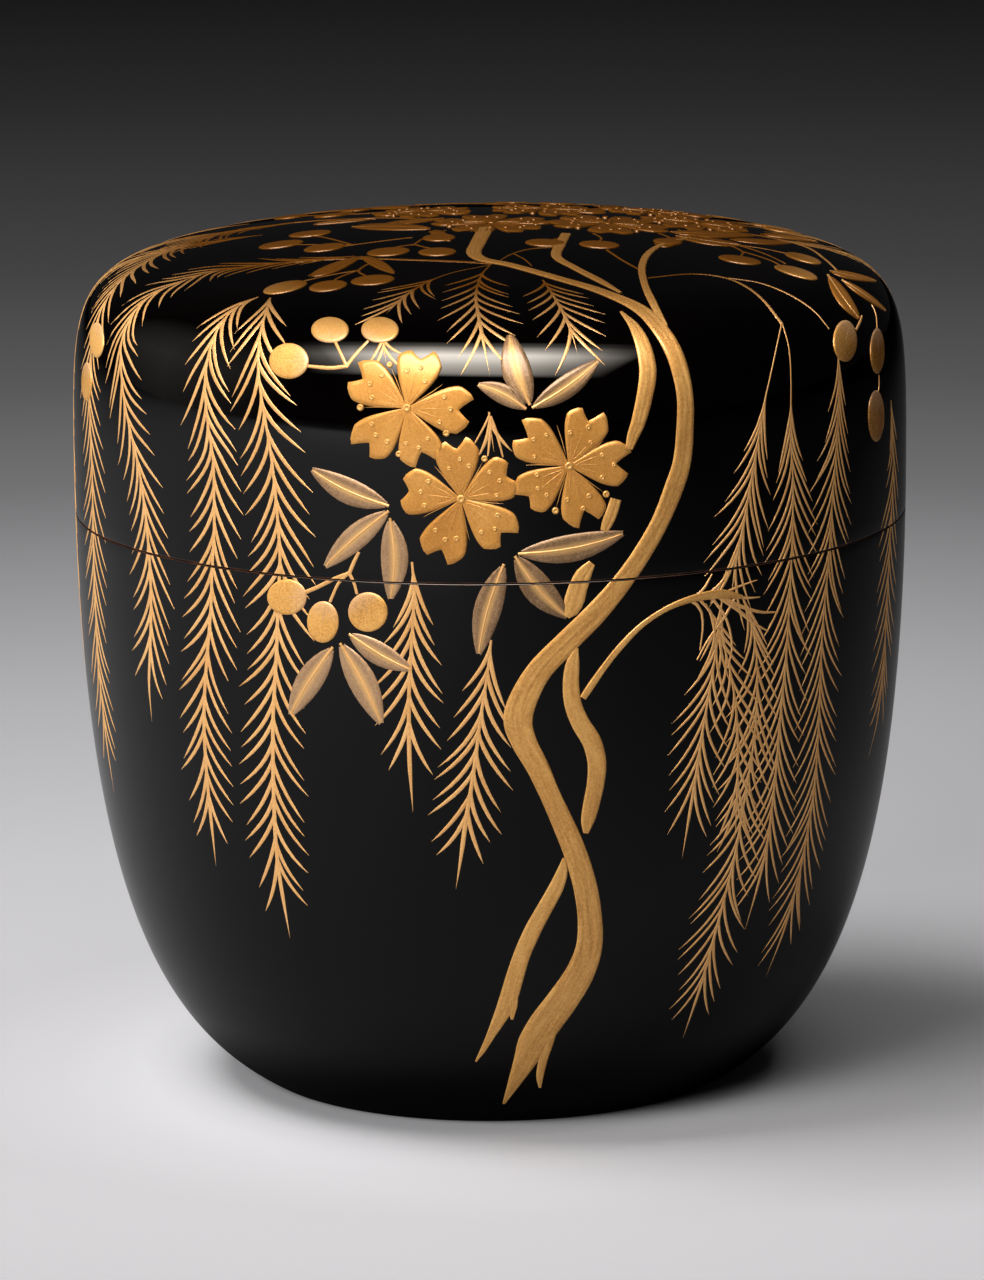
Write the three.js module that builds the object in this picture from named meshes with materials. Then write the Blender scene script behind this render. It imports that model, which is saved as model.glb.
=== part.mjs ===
// A lacquered wooden tea caddy. The body is a turned cup with a thin raised lip round its mouth.
// The domed lid slips down over that lip and rests on the ledge outside it, so the two outsides
// run on as one curve, cut only by a hairline seam.
// Millimetres, +Z up, the origin at the middle of the underside.
import * as THREE from "three";

// The outside
const overallHeight = 68.2;
const crownReach = 20; // the radius out to which the top is one shallow dome
const crownRise = 1.3; // the height of that dome
const widestRadius = 33;
const widestHeight = 50.3; // on the side of the lid, just above the seam
const seamHeight = 45.7; // the ledge of the body, on which the lid rests
const footRadius = 18.7;
const edgeRound = 0.15; // the softened edges at the seam and on the foot

// How full the curves are, as shares of the room that each one has
const shoulderFlatPull = 0.98;
const shoulderUprightPull = 0.85;
const bellyUprightPull = 0.66;
const footPull = 0.72;
const footSlope = THREE.MathUtils.degToRad(28.5);

// The walls
const lidWall = 1.7; // at the rim of the lid, and the width of the ledge under it
const crownThickness = 2.6; // in the middle of the lid
const lipWall = 1.1;
const lipHeight = 9; // above the seam
const lipEdgeRound = 0.4;
const lidClearance = 0.2; // between the lip and the bore of the lid
const floorThickness = 2.8;
const floorFillet = 6; // where the inside wall turns into the floor

// The underside
const footRingWidth = 2.4;
const recessDepth = 0.8;

// Fineness of the turned surfaces
const turnSteps = 64;
const domeSteps = 3;
const shoulderSteps = 13;
const lidInsideSteps = 12;
const bellySteps = 13;
const bodyInsideSteps = 8;
const filletSteps = 3;
const cornerSteps = 2;

const point = (radius, height) => new THREE.Vector2(radius, height);
const { lerp } = THREE.MathUtils;

const domeEdge = point(crownReach, overallHeight - crownRise);
const domeFall = point(crownReach / 2, -crownRise).normalize();
const widest = point(widestRadius, widestHeight);
const foot = point(footRadius, 0);

const dome = new THREE.QuadraticBezierCurve(
  point(0, overallHeight),
  point(crownReach / 2, overallHeight),
  domeEdge,
);

const shoulder = new THREE.CubicBezierCurve(
  domeEdge,
  domeEdge.clone().addScaledVector(domeFall, shoulderFlatPull * (widest.x - domeEdge.x)),
  widest.clone().setY(lerp(widest.y, domeEdge.y, shoulderUprightPull)),
  widest,
);

const footRun = footPull * (widestRadius - footRadius);
const belly = new THREE.CubicBezierCurve(
  widest,
  widest.clone().setY(lerp(widest.y, 0, bellyUprightPull)),
  foot.clone().add(point(footRun * Math.cos(footSlope), footRun * Math.sin(footSlope))),
  foot,
);

const outsideCurves = [dome, shoulder, belly];
const domeEnd = 1; // places along the outside: 0 in the middle of the top, then one for each curve
const footEnd = outsideCurves.length;

// A point of the outside at a place, set inwards by a depth.
function outside(place, depth = 0) {
  const index = Math.min(Math.floor(place), footEnd - 1);
  const spot = outsideCurves[index].getPoint(place - index);
  const along = outsideCurves[index].getTangent(place - index);
  return spot.add(point(along.y, -along.x).multiplyScalar(depth));
}

// The place where the outside, set inwards by a depth, comes down to a height.
function placeAt(height, depth = 0) {
  let [above, below] = [0, footEnd];
  for (let halvings = 0; halvings < 40; halvings++) {
    const middle = (above + below) / 2;
    if (outside(middle, depth).y > height) above = middle;
    else below = middle;
  }
  return (above + below) / 2;
}

// Evenly spaced places from one to another.
function places(from, to, steps) {
  return Array.from({ length: steps + 1 }, (_, i) => lerp(from, to, i / steps));
}

function softCorner(before, corner, after) {
  return new THREE.QuadraticBezierCurve(before, corner, after).getPoints(cornerSteps);
}

function turned(name, outline, material) {
  const geometry = new THREE.LatheGeometry(outline, turnSteps).rotateX(Math.PI / 2);
  const piece = new THREE.Mesh(geometry, material);
  piece.name = name;
  return piece;
}

// What the lid and the body share. The bore of the lid runs straight up past the lip, so the
// narrower of its two ends sets it.
const seamRadius = outside(placeAt(seamHeight)).x;
const lipTop = seamHeight + lipHeight;
const boreTop = lipTop + lipEdgeRound;
const boreRadius = Math.min(seamRadius - lidWall, outside(placeAt(boreTop, lidWall), lidWall).x);
const lipRadius = boreRadius - lidClearance;
const mouthRadius = lipRadius - lipWall;
const bodyWall = seamRadius - mouthRadius;

// From the middle of the lid's ceiling, down the inside, round the rim and up the outside.
function lidOutline() {
  const rimPlace = placeAt(seamHeight + edgeRound);
  const ceiling = places(0, placeAt(boreTop, lidWall), lidInsideSteps).map((place) => {
    const share = outside(place).x / widestRadius;
    return outside(place, lerp(crownThickness, lidWall, share * share));
  });
  return [
    ...ceiling.map((spot) => point(Math.min(spot.x, boreRadius), spot.y)),
    ...softCorner(
      point(boreRadius, seamHeight + edgeRound),
      point(boreRadius, seamHeight),
      point(boreRadius + edgeRound, seamHeight),
    ),
    ...softCorner(
      point(seamRadius - edgeRound, seamHeight),
      point(seamRadius, seamHeight),
      outside(rimPlace),
    ),
    ...places(rimPlace, domeEnd, shoulderSteps).slice(1).map((place) => outside(place)),
    ...places(domeEnd, 0, domeSteps).slice(1).map((place) => outside(place)),
  ];
}

// From the middle of the underside, over the foot and up the outside, over the lip and down the
// inside to the middle of the floor.
function bodyOutline() {
  const floorHeight = recessDepth + floorThickness;
  const ringRadius = footRadius - footRingWidth;
  const footPlace = placeAt(edgeRound);
  const ledgePlace = placeAt(seamHeight - edgeRound);
  const filletPlace = placeAt(floorHeight + floorFillet, bodyWall + floorFillet);
  const filletCentre = outside(filletPlace, bodyWall + floorFillet);
  const inside = places(placeAt(seamHeight, bodyWall), filletPlace, bodyInsideSteps).map((place) =>
    outside(place, bodyWall),
  );
  const filletStart = outside(filletPlace, bodyWall).sub(filletCentre).angle() - 2 * Math.PI;
  const fillet = places(filletStart, -Math.PI / 2, filletSteps).map((angle) =>
    filletCentre.clone().add(point(Math.cos(angle), Math.sin(angle)).multiplyScalar(floorFillet)),
  );
  return [
    point(0, recessDepth),
    point(ringRadius - recessDepth, recessDepth),
    point(ringRadius, 0),
    ...softCorner(point(footRadius - edgeRound, 0), foot, outside(footPlace)),
    ...places(footPlace, ledgePlace, bellySteps).slice(1, -1).map((place) => outside(place)),
    ...softCorner(
      outside(ledgePlace),
      point(seamRadius, seamHeight),
      point(seamRadius - edgeRound, seamHeight),
    ),
    point(lipRadius, seamHeight),
    ...softCorner(
      point(lipRadius, lipTop - lipEdgeRound),
      point(lipRadius, lipTop),
      point(lipRadius - lipEdgeRound, lipTop),
    ),
    ...softCorner(
      point(mouthRadius + lipEdgeRound, lipTop),
      point(mouthRadius, lipTop),
      point(mouthRadius, lipTop - lipEdgeRound),
    ),
    ...inside,
    ...fillet.slice(1),
    point(0, floorHeight),
  ];
}

const blackLacquer = new THREE.MeshStandardMaterial({ color: 0x12100e, roughness: 0.08, metalness: 0 });

const caddy = new THREE.Group();
caddy.add(turned("body", bodyOutline(), blackLacquer));
caddy.add(turned("lid", lidOutline(), blackLacquer.clone()));

export default caddy;
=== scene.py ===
import math
import random

import bmesh
import bpy
import numpy as np
from mathutils import Matrix, Vector


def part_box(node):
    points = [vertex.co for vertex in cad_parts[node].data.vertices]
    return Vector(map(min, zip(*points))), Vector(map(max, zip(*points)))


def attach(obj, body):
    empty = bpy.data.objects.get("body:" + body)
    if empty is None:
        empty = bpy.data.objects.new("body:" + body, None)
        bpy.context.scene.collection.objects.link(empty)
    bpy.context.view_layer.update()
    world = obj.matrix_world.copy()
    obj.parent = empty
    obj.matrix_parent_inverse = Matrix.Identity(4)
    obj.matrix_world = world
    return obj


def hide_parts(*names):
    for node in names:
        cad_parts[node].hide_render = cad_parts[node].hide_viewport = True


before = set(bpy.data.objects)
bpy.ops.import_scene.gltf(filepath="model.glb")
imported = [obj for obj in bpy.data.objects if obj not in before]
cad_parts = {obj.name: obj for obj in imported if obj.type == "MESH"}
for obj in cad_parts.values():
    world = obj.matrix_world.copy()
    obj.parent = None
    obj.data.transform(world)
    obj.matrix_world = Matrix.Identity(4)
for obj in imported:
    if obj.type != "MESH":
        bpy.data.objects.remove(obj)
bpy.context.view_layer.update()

# A lacquered tea caddy, willow and cherry in sprinkled gold. Metres, +Z up, the trunk on the -Y side.
mm = 0.001


# The camera, and the way from a place in the photo to a place on the caddy

photo = {
    "size": (984, 1280),
    "distance": 0.600,
    "elevation": 11.631,
    "roll": -0.38,
    "target": (0.00004, 0, 0.03464),
    "lens": 211.35,
    "film": 36,  # the long side
    "search": 60 * mm,  # how far before and behind the middle the caddy is looked for
    "searchSteps": (481, 20),  # evenly spaced, then halving
}


def makeCamera():
    data = bpy.data.cameras.new("photoCamera")
    data.lens = photo["lens"]
    data.sensor_fit = "VERTICAL"
    data.sensor_height = photo["film"]
    data.clip_start = 0.02
    camera = bpy.data.objects.new("photoCamera", data)
    tilt = math.radians(photo["elevation"])
    back = Vector((0, -math.cos(tilt), math.sin(tilt)))
    place = Vector(photo["target"]) + back * photo["distance"]
    turn = back.to_track_quat("Z", "Y").to_matrix().to_4x4()
    roll = Matrix.Rotation(math.radians(photo["roll"]), 4, "Z")
    camera.matrix_world = Matrix.Translation(place) @ turn @ roll
    bpy.context.scene.collection.objects.link(camera)
    bpy.context.scene.camera = camera
    return camera


camera = makeCamera()
print("camera ready")


# The turned form: the same curves as the solids, worked out from their box

form = {
    "top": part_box("lid")[1].z,
    "widest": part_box("lid")[1].x,
    "seam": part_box("lid")[0].z,
    "crownReach": 20 * mm,
    "crownRise": 1.3 * mm,
    "widestHeight": 50.3 * mm,
    "foot": 18.7 * mm,
    "shoulderPulls": (0.98, 0.85),
    "bellyPull": 0.66,
    "footPull": 0.72,
    "footSlope": math.radians(28.5),
    "heart": 30 * mm,  # a height inside, from which every point of the outside is seen
    "steps": (120, 400, 500),  # along the dome, the shoulder and the belly
}


def bezier(points, steps):
    share = np.linspace(0, 1, steps)[:, None]
    degree = len(points) - 1
    return sum(
        math.comb(degree, i) * share**i * (1 - share) ** (degree - i) * np.array(spot, float)
        for i, spot in enumerate(points)
    )


def drawOutside():
    widest, widestHeight, foot = form["widest"], form["widestHeight"], form["foot"]
    edge = np.array((form["crownReach"], form["top"] - form["crownRise"]))
    fall = np.array((form["crownReach"] / 2, -form["crownRise"]))
    fall /= np.linalg.norm(fall)
    flatPull, uprightPull = form["shoulderPulls"]
    footRun = form["footPull"] * (widest - foot)
    slope = form["footSlope"]
    domeSteps, shoulderSteps, bellySteps = form["steps"]
    dome = bezier([(0, form["top"]), (form["crownReach"] / 2, form["top"]), edge], domeSteps)
    shoulder = bezier([
        edge,
        edge + fall * flatPull * (widest - edge[0]),
        (widest, widestHeight + uprightPull * (edge[1] - widestHeight)),
        (widest, widestHeight),
    ], shoulderSteps)
    belly = bezier([
        (widest, widestHeight),
        (widest, widestHeight * (1 - form["bellyPull"])),
        (foot + footRun * math.cos(slope), footRun * math.sin(slope)),
        (foot, 0),
    ], bellySteps)
    return np.concatenate([dome, shoulder[1:], belly[1:]])


outside = drawOutside()
along = np.gradient(outside, axis=0)
along /= np.linalg.norm(along, axis=1)[:, None]
facing = np.stack([-along[:, 1], along[:, 0]], axis=1)  # outward, as radius and height
fromHeart = outside - (0, form["heart"])
turnFromTop = np.arctan2(fromHeart[:, 0], fromHeart[:, 1])
reachFromHeart = np.linalg.norm(fromHeart, axis=1)


# The points moved onto the outside along lines from the heart, and the way the outside faces there.
def onForm(points, lift=0.0):
    points = np.asarray(points, float)
    radius = np.maximum(np.hypot(points[..., 0], points[..., 1]), 1e-9)
    turn = np.arctan2(radius, points[..., 2] - form["heart"])
    heading = points[..., :2] / radius[..., None]
    spots = np.empty(points.shape)
    normals = np.empty(points.shape)
    spots[..., :2] = heading * np.interp(turn, turnFromTop, outside[:, 0])[..., None]
    spots[..., 2] = np.interp(turn, turnFromTop, outside[:, 1])
    normals[..., :2] = heading * np.interp(turn, turnFromTop, facing[:, 0])[..., None]
    normals[..., 2] = np.interp(turn, turnFromTop, facing[:, 1])
    normals /= np.linalg.norm(normals, axis=-1)[..., None]
    return spots + normals * np.asarray(lift)[..., None], normals


# How deep each point is under the outside, as seen from the heart; below zero in the open air.
def depthInside(points):
    offset = points - np.array((0, 0, form["heart"]))
    turn = np.arctan2(np.hypot(offset[..., 0], offset[..., 1]), offset[..., 2])
    return np.interp(turn, turnFromTop, reachFromHeart) - np.linalg.norm(offset, axis=-1)


# The places on the caddy that show at these pixels of the photo, or the nearest to them.
def fromPhoto(pixels):
    pixels = np.atleast_2d(np.asarray(pixels, float))
    right, up, back = (np.array(camera.matrix_world.col[i][:3]) for i in range(3))
    origin = np.array(camera.matrix_world.translation)
    width, height = photo["size"]
    focal = photo["lens"] / photo["film"] * height
    ray = (pixels[:, :1] - width / 2) / focal * right - (pixels[:, 1:] - height / 2) / focal * up - back
    steps, halvings = photo["searchSteps"]
    reach = np.linspace(photo["distance"] - photo["search"], photo["distance"] + photo["search"], steps)
    depths = depthInside(origin + ray[:, None] * reach[None, :, None])
    entered = depths > 0
    first = np.where(entered.any(axis=1), entered.argmax(axis=1), depths.argmax(axis=1))
    low, high = reach[np.maximum(first - 1, 0)], reach[first]
    for _ in range(halvings):
        middle = (low + high) / 2
        inside = depthInside(origin + ray * middle[:, None]) > 0
        low, high = np.where(inside, low, middle), np.where(inside, middle, high)
    return onForm(origin + ray * high[:, None])[0]


def radiusAt(height):
    return np.interp(-height, -outside[:, 1], outside[:, 0])


# The places on the top at these of a plan in millimetres.
def fromPlan(places):
    places = np.atleast_2d(np.asarray(places, float)) * mm
    radius = np.hypot(places[:, 0], places[:, 1])
    toWidest = outside[:sum(form["steps"][:2])]
    height = np.interp(radius, toWidest[:, 0], toWidest[:, 1])
    return np.column_stack([places, height])


# The places on the wall at these, each (turn in degrees, height in millimetres).
def fromWall(places):
    places = np.atleast_2d(np.asarray(places, float))
    turn, height = np.radians(places[:, 0]), places[:, 1] * mm
    radius = radiusAt(height)
    return np.column_stack([radius * np.sin(turn), -radius * np.cos(turn), height])


# A smooth line through a few places, in any number of dimensions.
def smoothLine(places, perSpan=12):
    places = np.asarray(places, float)
    if len(places) == 2:
        return places[0] + np.linspace(0, 1, perSpan + 1)[:, None] * (places[1] - places[0])
    padded = np.concatenate([[2 * places[0] - places[1]], places, [2 * places[-1] - places[-2]]])
    share = np.linspace(0, 1, perSpan, endpoint=False)[:, None]
    spans = [
        0.5 * (2 * b + (c - a) * share + (2 * a - 5 * b + 4 * c - d) * share**2
               + (3 * b - a - 3 * c + d) * share**3)
        for a, b, c, d in zip(padded, padded[1:], padded[2:], padded[3:])
    ]
    return np.concatenate(spans + [places[-1:]])


# How far along a line each of its points is.
def runOf(line):
    return np.concatenate([[0], np.cumsum(np.linalg.norm(np.diff(line, axis=0), axis=1))])


# The values of each column, read between its rows.
def readAt(spots, run, values):
    return np.column_stack([np.interp(spots, run, column) for column in values.T])


def resample(line, count):
    run = runOf(line)
    return readAt(np.linspace(0, run[-1], count), run, line)


def showPiece(name, mesh):
    piece = bpy.data.objects.new(name, mesh)
    bpy.context.scene.collection.objects.link(piece)
    return piece


# Materials

def newMaterial(name):
    material = bpy.data.materials.new(name)
    material.use_nodes = True
    return material, material.node_tree, material.node_tree.nodes["Principled BSDF"]


# Puts a plain value, or another node's output, into a socket.
def feed(tree, socket, value):
    if isinstance(value, bpy.types.NodeSocket):
        tree.links.new(value, socket)
    else:
        socket.default_value = value


def calc(tree, operation, *values):
    node = tree.nodes.new("ShaderNodeMath")
    node.operation = operation
    for socket, value in zip(node.inputs, values):
        feed(tree, socket, value)
    return node.outputs[0]


def mapRange(tree, value, start, end, low=0.0, high=1.0):
    node = tree.nodes.new("ShaderNodeMapRange")
    for socket, given in zip(node.inputs, (value, start, end, low, high)):
        feed(tree, socket, given)
    return node.outputs["Result"]


def addRamp(tree, value, stops):
    ramp = tree.nodes.new("ShaderNodeValToRGB")
    while len(ramp.color_ramp.elements) < len(stops):
        ramp.color_ramp.elements.new(0.5)
    for element, (place, colour) in zip(ramp.color_ramp.elements, stops):
        element.position = place
        element.color = (*colour, 1)
    feed(tree, ramp.inputs["Fac"], value)
    return ramp.outputs["Color"]


def addNoise(tree, place, scale, detail=2.0, roughness=0.5):
    noise = tree.nodes.new("ShaderNodeTexNoise")
    for key, value in (("Vector", place), ("Scale", scale), ("Detail", detail), ("Roughness", roughness)):
        feed(tree, noise.inputs[key], value)
    return noise.outputs["Fac"]


def mixColours(tree, share, first, second):
    mix = tree.nodes.new("ShaderNodeMix")
    mix.data_type = "RGBA"
    for socket, value in zip((mix.inputs[0], mix.inputs[6], mix.inputs[7]), (share, first, second)):
        feed(tree, socket, value)
    return mix.outputs[2]


def addBump(tree, shader, height, distance):
    bump = tree.nodes.new("ShaderNodeBump")
    bump.inputs["Distance"].default_value = distance
    feed(tree, bump.inputs["Height"], height)
    tree.links.new(bump.outputs["Normal"], shader.inputs["Normal"])


def objectPlace(tree):
    return tree.nodes.new("ShaderNodeTexCoord").outputs["Object"]


def splitUp(tree, vector):
    split = tree.nodes.new("ShaderNodeSeparateXYZ")
    tree.links.new(vector, split.inputs["Vector"])
    return split.outputs


lacquerFinish = {
    "mottling": 90,  # per metre
    "tones": [(0.35, (0.0002, 0.0001, 0.0001)), (0.7, (0.0009, 0.0004, 0.0002))],
    "specular": 0.34,
    "rubbing": 260,
    "roughness": (0.02, 0.055),
    "waves": 55,  # the slow unevenness of hand-rubbed lacquer, per metre
    "waveHeight": 0.004 * mm,
}


def makeLacquer():
    material, tree, shader = newMaterial("blackLacquer")
    place = objectPlace(tree)
    mottling = addNoise(tree, place, lacquerFinish["mottling"], 3)
    rubbing = addNoise(tree, place, lacquerFinish["rubbing"], 4)
    feed(tree, shader.inputs["Base Color"], addRamp(tree, mottling, lacquerFinish["tones"]))
    feed(tree, shader.inputs["Roughness"], mapRange(tree, rubbing, 0, 1, *lacquerFinish["roughness"]))
    addBump(tree, shader, addNoise(tree, place, lacquerFinish["waves"], 1), lacquerFinish["waveHeight"])
    shader.inputs["Specular IOR Level"].default_value = lacquerFinish["specular"]
    return material


edgeWearAndGlintFinish = {
    "mottling": 500,
    "tones": [(0.35, (0.008, 0.003, 0.002)), (0.65, (0.06, 0.02, 0.008))],
    "roughness": 0.3,
}


# The rims at the seam: brown where the lacquer is rubbed thin, and partly a painted glint of the edge
# catching the light.
def makeEdgeWearAndGlint():
    material, tree, shader = newMaterial("edgeWearAndGlint")
    mottling = addNoise(tree, objectPlace(tree), edgeWearAndGlintFinish["mottling"], 3)
    feed(tree, shader.inputs["Base Color"], addRamp(tree, mottling, edgeWearAndGlintFinish["tones"]))
    shader.inputs["Roughness"].default_value = edgeWearAndGlintFinish["roughness"]
    return material


# Powdered metal, sprinkled on wet lacquer and polished. "laid" holds the place in the stroke or
# shape, along and across, and a tone for the whole of it.
def makePowder(name, finish):
    material, tree, shader = newMaterial(name)
    place = objectPlace(tree)
    laid = tree.nodes.new("ShaderNodeAttribute")
    laid.attribute_name = "laid"
    along, across, tone = splitUp(tree, laid.outputs["Vector"])
    grains = addNoise(tree, place, finish["grains"], 2, 0.7)
    cloud = addNoise(tree, place, finish["clouds"], 3)
    level = calc(tree, "MULTIPLY_ADD", cloud, finish["cloudShare"], grains)
    level = calc(tree, "MULTIPLY_ADD", tone, finish["toneShare"], level)
    if "streaks" in finish:
        perMmAlong, perMmAcross = finish["streaks"]
        stretch = tree.nodes.new("ShaderNodeCombineXYZ")
        feed(tree, stretch.inputs["X"], calc(tree, "MULTIPLY", along, perMmAlong))
        feed(tree, stretch.inputs["Y"], calc(tree, "MULTIPLY", across, perMmAcross))
        feed(tree, stretch.inputs["Z"], tone)
        streak = addNoise(tree, stretch.outputs["Vector"], 1.0, 2, 0.6)
        level = calc(tree, "MULTIPLY_ADD", streak, finish["streakShare"], level)
    spread = mapRange(tree, level, *finish["range"])
    colour = addRamp(tree, spread, list(zip((0.0, 0.5, 1.0), finish["colours"])))
    if "glow" in finish:
        way, start, end, share, tint = finish["glow"]
        reach = along if way == "along" else calc(tree, "ABSOLUTE", across)
        colour = mixColours(tree, mapRange(tree, reach, start, end, 0.0, share), colour, (*tint, 1))
    # Painted shade: the colour darkens towards the top, between two heights, where little light falls.
    low, high, share, tint = finish["paintedTopShade"]
    reach = calc(tree, "MULTIPLY_ADD", cloud, finish["paintedTopShadeCloud"], splitUp(tree, place)["Z"])
    colour = mixColours(tree, mapRange(tree, reach, low, high, 0.0, share), colour, (*tint, 1))
    feed(tree, shader.inputs["Base Color"], colour)
    feed(tree, shader.inputs["Roughness"], mapRange(tree, grains, 0, 1, *finish["roughness"]))
    addBump(tree, shader, grains, finish["grainHeight"])
    shader.inputs["Metallic"].default_value = finish["metallic"]
    shader.inputs["Specular IOR Level"].default_value = finish["specular"]
    shader.inputs["Specular Tint"].default_value = (*finish["sheen"], 1)
    shader.inputs["Coat Weight"].default_value = finish["coat"]
    shader.inputs["Coat Roughness"].default_value = finish["coatRoughness"]
    return material


goldFinish = {
    "grains": 7000, "grainHeight": 0.010 * mm,  # the grains are counted per metre, as are the clouds of tone
    "clouds": 330, "cloudShare": 0.5, "toneShare": 0.2, "range": (0.5, 1.3),
    "colours": [(0.57, 0.275, 0.085), (0.74, 0.40, 0.147), (0.84, 0.515, 0.22)],
    "sheen": (1.0, 0.62, 0.26), "specular": 0.3, "roughness": (0.40, 0.52), "metallic": 0.18,
    "coat": 0.4, "coatRoughness": 0.13,  # the thin lacquer that fixes the powder
    # painted shade: the top darker between these heights, where little light falls: (from, to, share, tone)
    "paintedTopShade": (63.5 * mm, 67.2 * mm, 1.0, (0.095, 0.031, 0.002)), "paintedTopShadeCloud": 1.2 * mm,
}
petalFinish = dict(
    goldFinish, clouds=210, cloudShare=0.9, range=(0.6, 1.5),
    colours=[(0.36, 0.142, 0.025), (0.53, 0.238, 0.050), (0.71, 0.366, 0.102)],
)
beadFinish = dict(petalFinish, colours=[(0.44, 0.20, 0.045), (0.60, 0.31, 0.085), (0.76, 0.45, 0.15)])
budFinish = dict(
    petalFinish,
    # the darkest tone carries dark mottling and also the painted shade of the buds on the right
    colours=[(0.22, 0.080, 0.010), (0.68, 0.34, 0.085), (0.86, 0.50, 0.17)],
    glow=("along", 0.1, 1.0, 0.5, (0.62, 0.40, 0.26)),  # paler by the stalk
)
barkFinish = dict(
    goldFinish,
    grains=5000, grainHeight=0.016 * mm, cloudShare=0.35,
    streaks=(0.35, 4.0), streakShare=1.1, range=(0.85, 1.7),
    colours=[(0.335, 0.147, 0.037), (0.53, 0.265, 0.072), (0.69, 0.385, 0.122)],
    # painted shade on the top, as for the gold
    roughness=(0.44, 0.56), paintedTopShade=(64 * mm, 67.2 * mm, 0.85, (0.13, 0.052, 0.009)),
)
silverFinish = dict(
    goldFinish,
    grains=6500, clouds=420, cloudShare=0.6,
    colours=[(0.15, 0.082, 0.037), (0.32, 0.186, 0.096), (0.44, 0.275, 0.152)],
    sheen=(1.0, 0.8, 0.6), roughness=(0.42, 0.54),
    glow=("across", 0.44, 0.04, 0.75, (0.74, 0.42, 0.14)),  # gold dust along the midrib
)

lacquer = makeLacquer()
edgeWearAndGlint = makeEdgeWearAndGlint()
gold = makePowder("sprinkledGold", goldFinish)
petalGold = makePowder("raisedGold", petalFinish)
beadGold = makePowder("beadGold", beadFinish)
barkGold = makePowder("barkGold", barkFinish)
budGold = makePowder("budGold", budFinish)
leafSilver = makePowder("leafSilver", silverFinish)
print("materials ready")


# The turned shells

lidTurning = {
    "wall": 1.7 * mm, "crown": 2.6 * mm, "bore": 31.26 * mm, "lipHeight": 9 * mm,
    "edge": 0.09 * mm, "gap": 0.05 * mm,  # the softened rims at the seam, and the hairline between them
    "rimSteps": 110, "ceilingSteps": 60,
}
bodyTurning = {
    "lipWall": 1.1 * mm, "clearance": 0.2 * mm, "lipEdge": 0.4 * mm, "floor": 2.8 * mm,
    "fillet": 6 * mm, "ringWidth": 2.4 * mm, "recess": 0.8 * mm,
    "wallSteps": 120, "insideSteps": 70,
}
turnSteps = 288
sharpEdge = math.radians(35)


# The outside from one height down to another, set inwards by a depth that may change with the radius.
def wallRun(high, low, steps, depthAt=lambda radius: 0 * radius):
    every = np.arange(len(outside))
    keep = (outside[:, 1] <= high) & (outside[:, 1] >= low)
    places = resample(np.column_stack([outside[keep], np.flatnonzero(keep)]), steps)[:, 2]
    places[0], places[-1] = np.interp((-high, -low), -outside[:, 1], every)
    spots, normals = readAt(places, every, outside), readAt(places, every, facing)
    return spots - normals * depthAt(spots[:, 0])[:, None]


def softCorner(before, corner, after, steps=6):
    return bezier([before, corner, after], steps)


# An outline turned about the axis. Its first and last points lie on the axis.
def turnedShell(name, outline):
    turns = np.linspace(0, 2 * math.pi, turnSteps, endpoint=False)
    rings = outline[1:-1]
    radii, heights = rings[:, :1], np.repeat(rings[:, 1:], turnSteps, 1)
    points = np.stack([radii * np.cos(turns), radii * np.sin(turns), heights], axis=-1).reshape(-1, 3)
    index = np.arange(len(rings) * turnSteps).reshape(len(rings), turnSteps)
    nextTurn = np.roll(index, -1, axis=1)
    quads = np.stack([index[:-1], nextTurn[:-1], nextTurn[1:], index[1:]], axis=-1).reshape(-1, 4)
    start, end = len(points), len(points) + 1
    points = np.concatenate([points, [(0, 0, outline[0, 1]), (0, 0, outline[-1, 1])]])
    caps = [(start, b, a) for a, b in zip(index[0], nextTurn[0])]
    caps += [(end, a, b) for a, b in zip(index[-1], nextTurn[-1])]
    mesh = bpy.data.meshes.new(name)
    mesh.from_pydata(points.tolist(), [], quads.tolist() + caps)
    mesh.polygons.foreach_set("use_smooth", [True] * len(mesh.polygons))
    mesh.set_sharp_from_angle(angle=sharpEdge)
    return showPiece(name, mesh)


def lidOutline():
    seam, edge = form["seam"] + lidTurning["gap"], lidTurning["edge"]
    bore, seamRadius = lidTurning["bore"], radiusAt(form["seam"])
    crown, wall = lidTurning["crown"], lidTurning["wall"]
    rim = wallRun(form["top"], seam + edge, lidTurning["rimSteps"])
    ceiling = wallRun(form["top"], seam + lidTurning["lipHeight"], lidTurning["ceilingSteps"],
                      lambda radius: crown + (wall - crown) * (radius / form["widest"]) ** 2)
    ceiling[:, 0] = np.minimum(ceiling[:, 0], bore)
    ceiling[0, 0] = 0
    return np.concatenate([
        ceiling,
        softCorner((bore, seam + edge), (bore, seam), (bore + edge, seam)),
        softCorner((seamRadius - edge, seam), (seamRadius, seam), rim[-1]),
        rim[::-1][1:],
    ])


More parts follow.
